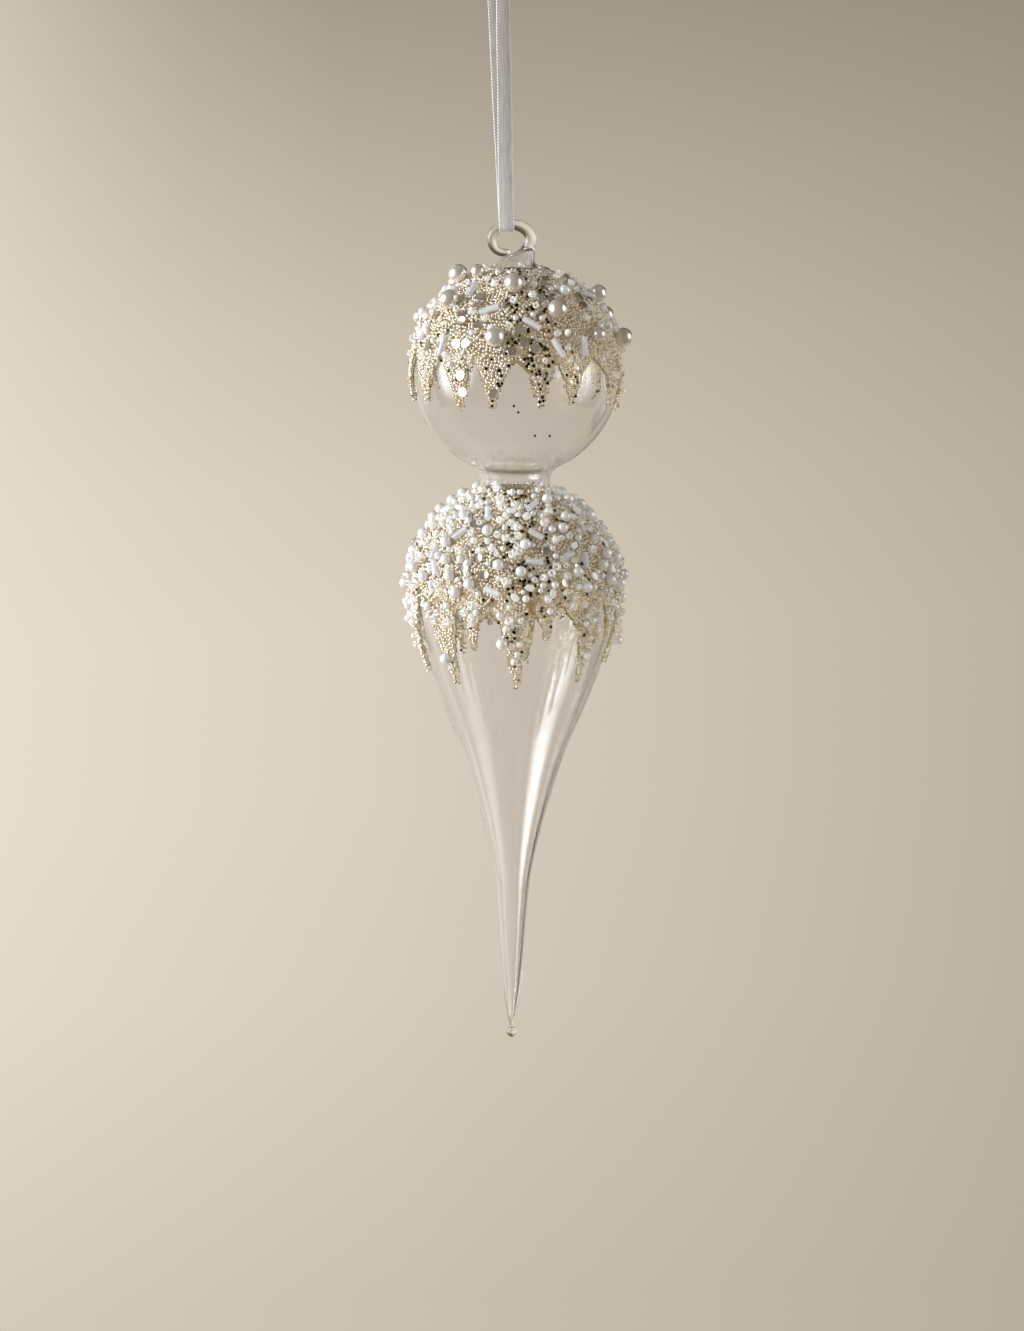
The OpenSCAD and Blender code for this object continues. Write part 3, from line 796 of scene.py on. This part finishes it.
# ---- The larger beads: each stands where its CAD solid is ----
def islands(name):
    """Each loose part of a CAD node: its points in the row frame."""
    mesh = nodes[name].data
    co = np.zeros(len(mesh.vertices) * 3)
    mesh.vertices.foreach_get("co", co)
    co = co.reshape(-1, 3)
    edges = np.zeros(len(mesh.edges) * 2, np.int64)
    mesh.edges.foreach_get("vertices", edges)
    edges = edges.reshape(-1, 2)
    keys, joined = np.unique(np.round(co * 1e6).astype(np.int64), axis=0, return_inverse=True)
    joined = joined.ravel()
    label = np.arange(len(keys))
    a, b = joined[edges[:, 0]], joined[edges[:, 1]]
    while True:
        low = np.minimum(label[a], label[b])
        before = label.copy()
        np.minimum.at(label, a, low)
        np.minimum.at(label, b, low)
        label = label[label]
        if (label == before).all():
            break
    owner = label[joined]
    return [co[owner == i] for i in np.unique(owner)]


def lie(name):
    """Centres, half sizes along their own axes, and those axes (longest first), of the beads."""
    centres, halves, axes = [], [], []
    for p in islands(name):
        flat = p - p.mean(0)
        _, _, way = np.linalg.svd(flat[:: max(len(flat) // 400, 1)], full_matrices=False)
        span = flat @ way.T
        centres.append(p.mean(0) + way.T @ ((span.max(0) + span.min(0)) / 2))
        halves.append((span.max(0) - span.min(0)) / 2)
        axes.append(way)
    return np.array(centres), np.array(halves), np.array(axes)


def outward(centres, side):
    """The direction out of the glass at each bead."""
    return unit(centres - hung([0, 0, side.centre]))


taken = {"upper": [], "lower": []}


def take(side, centres, ends, radius):
    """Keeps tiny beads clear of a larger one that lies along a short line."""
    for c, e in zip(centres, ends):
        taken[side.name].append((np.array(c), np.array(e), radius))


def made(name, parts, material, stood_for, smooth=True):
    """A piece from copies(), with the CAD nodes that it stands for."""
    verts, faces, tone = parts
    ob = mesh_object(name, verts, faces, material, smooth=smooth, tone=tone)
    if stood_for:
        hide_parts(*stood_for)


BALL_SHAPE = ico(4)


def pearls(node, side, material, name):
    at, half, _ = lie(node)
    r = half.max(1)
    size = r[:, None] * (1 + rng.normal(size=(len(at), 3)) * 0.012)
    made(name, copies(BALL_SHAPE, at, frames(outward(at, side)), size), material, [node])
    for c, radius in zip(at, r):
        take(side, [c], [c], radius)


def bugle_shape():
    """A cut glass tube: slightly rounded ends, and a bore through it."""
    outline = [[0.4, -1], [0.82, -1], [0.96, -0.975], [1, -0.93], [1, 0], [1, 0.93],
               [0.96, 0.975], [0.82, 1], [0.4, 1], [0.36, 0.97], [0.36, 0], [0.36, -0.97]]
    return lathe(outline, 20)


def seed_shape():
    """A round bead with a hole: its section is a full oval."""
    a = np.radians(np.arange(0, 360, 24))
    return lathe([[0.63 + 0.37 * math.cos(t), 0.78 * math.sin(t)] for t in a], 20)


def sequin_shape():
    """A thin cupped disc with a hole and a rolled rim."""
    return lathe([[0.09, -0.5], [0.6, -0.35], [0.95, -0.1], [1, 0.3], [0.96, 0.62], [0.6, 0.4],
                  [0.09, 0.25]], 28)


def chip_shape():
    """A broken flake of shell with six uneven sides and worn edges."""
    a = np.radians([8, 62, 118, 176, 238, 305])
    r = np.array([1.0, 0.9, 0.96, 0.88, 1.0, 0.9])
    rows = []
    for z, shrink in [(-1, 0.88), (-0.6, 1), (0.55, 1), (1, 0.86)]:
        rows.append(np.stack([r * shrink * np.cos(a), r * shrink * np.sin(a), np.full(6, z)], -1))
    return np.concatenate(rows), grid_faces(4, 6) + [list(range(6))[::-1], list(range(18, 24))]


def crystal_shape():
    """A faceted bicone with a girdle and flat ends."""
    a = round_angles(8)
    rows = []
    for z, r, shift in [(-1, 0.34, 0), (-0.12, 1, 0.5), (0.12, 1, 0.5), (1, 0.34, 1)]:
        b = a + shift * math.pi / 8
        rows.append(np.stack([r * np.cos(b), r * np.sin(b), np.full(8, z)], -1))
    return np.concatenate(rows), grid_faces(4, 8) + [list(range(8))[::-1], list(range(24, 32))]


def bugles(node, side):
    at, half, axes = lie(node)
    along = axes[:, 0]
    away = outward(at, side)
    turns = frames(along, away)
    size = np.stack([half[:, 1], half[:, 1], half[:, 0]], -1)
    made(f"{side.name}_glass_bugles", copies(bugle_shape(), at, turns, size), BUGLE, [node])
    take(side, at - along * half[:, :1], at + along * half[:, :1], 0.001)


def sequins(node, side, name):
    at, half, axes = lie(node)
    away = outward(at, side)
    normal = axes[:, 2] * np.sign((axes[:, 2] * away).sum(1, keepdims=True))
    tilt = normal + rng.normal(size=normal.shape) * 0.07
    at = at + away * 0.00022
    size = np.stack([half[:, 0], half[:, 0], np.full(len(at), 0.00022)], -1)
    made(name, copies(sequin_shape(), at, frames(tilt), size), SEQUIN, [node],
         smooth=False)
    take(side, at - away * 0.0002, at - away * 0.0002, 0.0008)


def seeds(node, side):
    at, half, _ = lie(node)
    away = outward(at, side)
    lean = away + rng.normal(size=away.shape) * 0.45
    size = np.repeat(half.max(1)[:, None], 3, 1) * (1 + rng.normal(size=(len(at), 1)) * 0.05)
    made(f"{side.name}_clear_seeds", copies(seed_shape(), at, frames(lean), size), SEED, [node])
    take(side, at, at, 0.0012)


pearls("upper_big_pearls", upper, PEARL, "upper_large_pearls")
pearls("upper_small_pearls", upper, WHITE_PEARL, "upper_little_pearls")
pearls("lower_pearls", lower, WHITE_PEARL, "lower_little_pearls")
pearls("fringe_pearls", lower, WHITE_PEARL, "drip_pearls")
bugles("upper_bugles", upper)
bugles("lower_bugles", lower)
sequins("upper_sequins", upper, "upper_cup_sequins")
sequins("lower_sequins", lower, "lower_cup_sequins")
sequins("fringe_sequins", upper, "drip_sequins")
seeds("upper_seed_beads", upper)
seeds("lower_seed_beads", lower)

chip_at, chip_half, chip_axes = lie("lower_shell_chips")
made("lower_shell_flakes",
     copies(chip_shape(), chip_at, frames(outward(chip_at, lower), chip_axes[:, 0]),
            chip_half * np.array([1.05, 1.05, 0.9])), SHELL, ["lower_shell_chips"],
     smooth=False)
take(lower, chip_at, chip_at, 0.0013)
crystal_at, _, _ = lie("lower_crystals")
made("lower_cut_crystals",
     copies(crystal_shape(), crystal_at,
            frames(outward(crystal_at, lower) + rng.normal(size=crystal_at.shape) * 0.5),
            np.repeat(np.array([[1.5, 1.5, 1.6]]) * MM, len(crystal_at), 0)),
     CRYSTAL, ["lower_crystals"], smooth=False)
take(lower, crystal_at, crystal_at, 0.0013)


# ---- Tiny beads and flakes ----
def clear_of_taken(side, points, spare):
    """True where a tiny bead doesn't lie in a larger one."""
    ok = np.ones(len(points), bool)
    for a, b, radius in taken[side.name]:
        line = b - a
        length = float(line @ line)
        t = np.clip((points - a) @ line / length, 0, 1)[:, None] if length > 0 else 0
        near = np.linalg.norm(points - (a + t * line), axis=1)
        ok &= near > radius + spare
    return ok


def extra_beads(side, count, low, high, material, shape, name):
    """More beads of in-between sizes, between the larger ones."""
    found, radii, tries = [], [], 0
    while len(found) < count and tries < 6000:
        tries += 1
        azimuth, s = rng.random() * 360, rng.random() * side.length()
        r = rng.uniform(low, high)
        if side.outline(np.array(s))[0] < rng.random() * side.r:
            continue
        if side.cover(np.array([azimuth]), np.array([s]))[0][0] < 1.6:
            continue
        p, _ = side.points(np.array([azimuth]), np.array([s]), np.array([0.35 + r]))
        p = hung(p)
        if not clear_of_taken(side, p, r * MM * 0.9)[0]:
            continue
        take(side, p, p, r * MM)
        found.append(p[0])
        radii.append(r * MM)
    at = np.array(found)
    made(name, copies(shape, at, frames(outward(at, side) + rng.normal(size=at.shape) * 0.4),
                      np.array(radii)), material, [])


SMALL_BALL = ico(3)
extra_beads(upper, 40, 0.8, 1.15, WHITE_PEARL, SMALL_BALL, "upper_tiny_pearls")
extra_beads(upper, 90, 0.9, 1.3, SEED, seed_shape(), "upper_tiny_seeds")
extra_beads(lower, 160, 0.8, 1.3, WHITE_PEARL, SMALL_BALL, "lower_tiny_pearls")
extra_beads(lower, 210, 0.9, 1.3, SEED, seed_shape(), "lower_tiny_seeds")


def microbeads(side):
    """Rows of tiny beads over the glue, closely packed but uneven."""
    pitch, row_step = 1.08, 0.97
    azimuth, along = [], []
    s = 0.2
    while s < side.length() - 0.6:
        r = float(side.outline(np.array(s))[0]) + 0.6
        n = int(2 * math.pi * r / pitch)
        azimuth.append(np.arange(n) * 360 / n + rng.random() * 360 + rng.normal(size=n) * 5.5 / r)
        along.append(np.full(n, s) + rng.normal(size=n) * 0.16)
        s += row_step
    azimuth, along = np.concatenate(azimuth) % 360, np.concatenate(along)
    # The rows wander, as the beads were strewn
    along = np.clip(along + wobble(azimuth, along * 0.3, 1.1, 21), 0.1, side.length() - 0.3)
    cover, which = side.cover(azimuth, along)
    z = side.outline(along)[1]
    ragged = cover + wobble(azimuth, z, 0.6, 9) + rng.normal(size=len(cover)) * 0.25
    keep = ragged > 0.35
    azimuth, along, which = azimuth[keep], along[keep], which[keep]
    high = 0.62 + rng.normal(size=len(along)) * 0.07
    on_top = rng.random(len(along)) < 0.05
    high = np.where(on_top, high + 0.55, high)
    points, normals = side.points(azimuth, along, high)
    at = hung(points)
    normals = hung(points + normals) / MM - at / MM
    keep = clear_of_taken(side, at, 0.00036)
    # The flakes lie in three swathes, thickest in the middle of each; the front swathe puts the
    # black-painted flakes, a painted reflection, where the front shows dark dots
    swathe = sum(np.exp(-(((azimuth - c + 180) % 360 - 180) / w) ** 2)
                 for c, w in [(8, 17), (127, 22), (238, 15)])
    patch = np.clip(0.6 + wobble(azimuth, side.outline(along)[1], 1.0, 14), 0, 1.6)
    # On the ball they show most in the drips, on the bulb above them
    patch = np.where(which >= 0, patch + 0.3 if side is upper else patch * 0.35, patch)
    flake = (rng.random(len(at)) < 0.02 + 0.46 * swathe * patch) & ~on_top
    return azimuth[keep], which[keep], at[keep], normals[keep], flake[keep]


def disc_shape():
    """A flat round flake with a bevelled rim."""
    a = round_angles(12)
    rows = [np.stack([r * np.cos(a), r * np.sin(a), np.full(12, z)], -1)
            for r, z in [(0.9, -1), (1, -0.3), (1, 0.5), (0.88, 1)]]
    return np.concatenate(rows), grid_faces(4, 12) + [list(range(12))[::-1], list(range(36, 48))]


MICRO_SHAPE = ico(2)


def bead_side(side, sectors, crust_node, fringe_name):
    azimuth, which, at, normals, flake = microbeads(side)
    radius = 0.49 * MM * (1 + rng.normal(size=len(at)) * 0.05)
    beads = ~flake
    sector = (azimuth / 360 * sectors).astype(int) % sectors
    for i in range(sectors):
        pick = beads & (which < 0) & (sector == i)
        made(f"{side.name}_microbeads_{i + 1}", copies(MICRO_SHAPE, at[pick], None, radius[pick]),
             MICRO, [crust_node])
    for n in range(1, 9):
        pick = beads & ((which == 2 * n - 2) | (which == 2 * n - 1))
        made(f"{side.name}_drip_beads_{n}", copies(MICRO_SHAPE, at[pick], None, radius[pick]),
             MICRO, [f"{fringe_name}_{n}"])
    tilt = frames(normals[flake] + rng.normal(size=(flake.sum(), 3)) * 0.11)
    size = np.stack([0.47 * MM * (1 + rng.normal(size=flake.sum()) * 0.1)] * 2
                    + [np.full(flake.sum(), 0.09 * MM)], -1)
    at = at[flake] + normals[flake] * 0.66 * MM
    if side is upper:
        # A few came to rest on the bare glass, further down at the front; most of them are painted
        # black too
        far = np.array([[-1.5, 50.0], [1, 52.0], [12, 60.2], [22, 60.4]])
        stray, out = side.points(far[:, 0], far[:, 1], np.full(4, 0.1))
        at = np.concatenate([at, hung(stray)])
        tilt = np.concatenate([tilt, frames(hung(stray + out) / MM - hung(stray) / MM)])
        size = np.concatenate([size, [[0.4 * MM, 0.4 * MM, 0.09 * MM]] * 4])
    made(f"{side.name}_mirror_flakes", copies(disc_shape(), at, tilt, size), FLAKE, [],
         smooth=False)


bead_side(upper, 3, "upper_bead_crust", "upper_fringe")
bead_side(lower, 4, "lower_bead_crust", "lower_fringe")


# ---- Studio ----
def studio_material():
    """Warm paper that glows instead of being lit: its painted light is bright at the left and falls
    off to the right, up and down.
    """
    t = Nodes("studio_paper")
    where, split = t.node("TexCoord"), t.node("SeparateXYZ")
    t.join(where, "Object", split, "Vector")

    def grey(axis, low, high, stops):
        spread = t.node("MapRange", From_Min=low, From_Max=high)
        t.join(split, axis, spread, "Value")
        return t.ramp(spread, "Result", [(pos, (v, v, v)) for pos, v in stops]).outputs["Color"]

    def maths(kind, a, b):
        m = t.node("Math", operation=kind)
        for i, v in enumerate((a, b)):
            if isinstance(v, float):
                m.inputs[i].default_value = v
            else:
                t.tree.links.new(v, m.inputs[i])
        return m.outputs["Value"]

    across = grey("X", -0.5, 0.5, [(0, 0.912), (0.2, 0.882), (0.37, 0.857), (0.45, 0.84),
                                   (0.62, 0.81), (0.66, 0.803), (0.9, 0.757), (1, 0.737)])
    dim_top = grey("X", -0.5, 0.5, [(0, 0.225), (0.13, 0.405), (0.22, 0.525), (0.36, 0.615),
                                    (0.62, 0.525), (1, 0.42)])
    dim_low = grey("X", -0.5, 0.5, [(0, 0.08), (0.36, 0.063), (0.64, 0.043), (1, 0.018)])
    top = grey("Z", -0.65, 1.2, [(0, 0), (0.0757, 0.037), (0.1535, 0.107), (0.2287, 0.203),
                                 (0.3135, 0.333), (0.52, 0.75), (1, 1)])
    low = grey("Z", -1.29, -0.65, [(0, 1), (0.18, 0.72), (0.47, 0.25), (0.76, 0.04), (1, 0)])
    value = maths("SUBTRACT", maths("SUBTRACT", across, maths("MULTIPLY", dim_top, top)),
                  maths("MULTIPLY", dim_low, low))
    colour, gamma, glow = t.node("CombineColor"), t.node("Gamma", Gamma=2.2), t.node("Emission")
    t.tree.links.new(value, colour.inputs["Red"])
    t.tree.links.new(maths("SUBTRACT", value, 0.048), colour.inputs["Green"])
    t.tree.links.new(maths("SUBTRACT", value, 0.109), colour.inputs["Blue"])
    t.join(colour, "Color", gamma, "Color")
    t.join(gamma, "Color", glow, "Color")
    t.join(glow, "Emission", t.out, "Surface")
    t.material.cycles.emission_sampling = "NONE"
    return t.material


def studio():
    """A round sweep of paper: a floor that curves up into a wall, all round the object."""
    outline = [[0.02, -1.8], [1.0, -1.8], [2.0, -1.8]]
    outline += [[2.5 + 0.5 * math.sin(a), -1.3 - 0.5 * math.cos(a)]
                for a in np.radians(range(0, 91, 10))]
    outline += [[3.0, -0.5], [3.0, 0.5], [3.0, 1.5], [3.0, 2.6]]
    paper = studio_material()
    for name, first in [("studio_behind", 0), ("studio_in_front", math.pi)]:
        a = first + np.linspace(0, math.pi, 49)
        verts = [[r * math.cos(t), r * math.sin(t), z] for r, z in outline for t in a]
        w = len(a)
        faces = [[i * w + k, (i + 1) * w + k, (i + 1) * w + k + 1, i * w + k + 1]
                 for i in range(len(outline) - 1) for k in range(w - 1)]
        ob = mesh_object(name, verts, faces, paper, body=None)
        ob.visible_glossy = name == "studio_behind"


def face(ob, place, aim):
    """Puts a lamp at a place, shining at the aim."""
    place, aim = np.array(place, float), np.array(aim, float)
    z = unit(place - aim)
    x = unit(np.cross([0, 0, 1.0], z))
    place_axes(ob, x, np.cross(z, x), z, place)


def fill(name, place, aim, width, height, power, colour):
    """A wide lamp that lights but doesn't show in any gloss or glass."""
    data = bpy.data.lights.new(name, "AREA")
    data.shape, data.size, data.size_y = "RECTANGLE", width, height
    data.energy, data.color = power, colour
    ob = linked(name, data)
    face(ob, place, aim)
    ob.visible_camera = ob.visible_transmission = ob.visible_glossy = False


def panel(name, place, aim, width, height, strength, colour):
    """A lit diffuser, brightest in its middle and soft towards its edges. It lights and reflects,
    but a look straight at it, even through the glass, passes it by."""
    t = Nodes(name)
    fall = t.texture("TexGradient", stretch=(2 / width, 2 / height, 1), gradient_type="SPHERICAL")
    scale = t.node("MapRange", interpolation_type="SMOOTHSTEP", From_Max=0.9, To_Max=strength)
    glow, clear = t.node("Emission", Color=(*colour, 1)), t.node("BsdfTransparent")
    t.join(fall, "Fac", scale, "Value")
    t.join(scale, "Result", glow, "Strength")
    # How many times the ray has turned other than by passing through
    path, turned = t.node("LightPath"), t.node("Math", operation="SUBTRACT")
    t.join(path, "Ray Depth", turned, 0)
    t.join(path, "Transmission Depth", turned, 1)
    t.mixed(turned, "Value", clear, glow, ("BSDF", "Emission"))
    w, h = width / 2, height / 2
    ob = mesh_object(name, [[-w, -h, 0], [w, -h, 0], [w, h, 0], [-w, h, 0]], [[0, 1, 2, 3]],
                     t.material, body=None)
    face(ob, place, aim)
    ob.visible_camera = False


studio()
middle = (0, 0, -0.17)
panel("key_panel", (-1.3, -0.38, 0.12), middle, 1.8, 2.1, 11.5, (0.94, 0.975, 1.0))
panel("card_right", (1.15, -0.15, 0.0), middle, 1.5, 1.8, 2.9, (1.0, 0.99, 0.97))
panel("rim_right", (0.8, 0.7, -0.3), middle, 0.45, 1.0, 1.4, (1.0, 0.98, 0.95))
fill("fill_front", (0.5, -1.7, 0.5), middle, 1.2, 1.2, 4.6, (1.0, 0.97, 0.93))
fill("fill_behind", (0.5, 1.8, 0.5), middle, 1.2, 1.2, 5.0, (1.0, 0.98, 0.95))

world = bpy.data.worlds.new("studio_dark")
world.use_nodes = True
background = world.node_tree.nodes["Background"]
background.inputs["Color"].default_value = (0.17, 0.158, 0.14, 1)
background.inputs["Strength"].default_value = 1.0
bpy.context.scene.world = world
bpy.context.scene.view_settings.view_transform = "Standard"
bpy.context.scene.view_settings.look = "None"
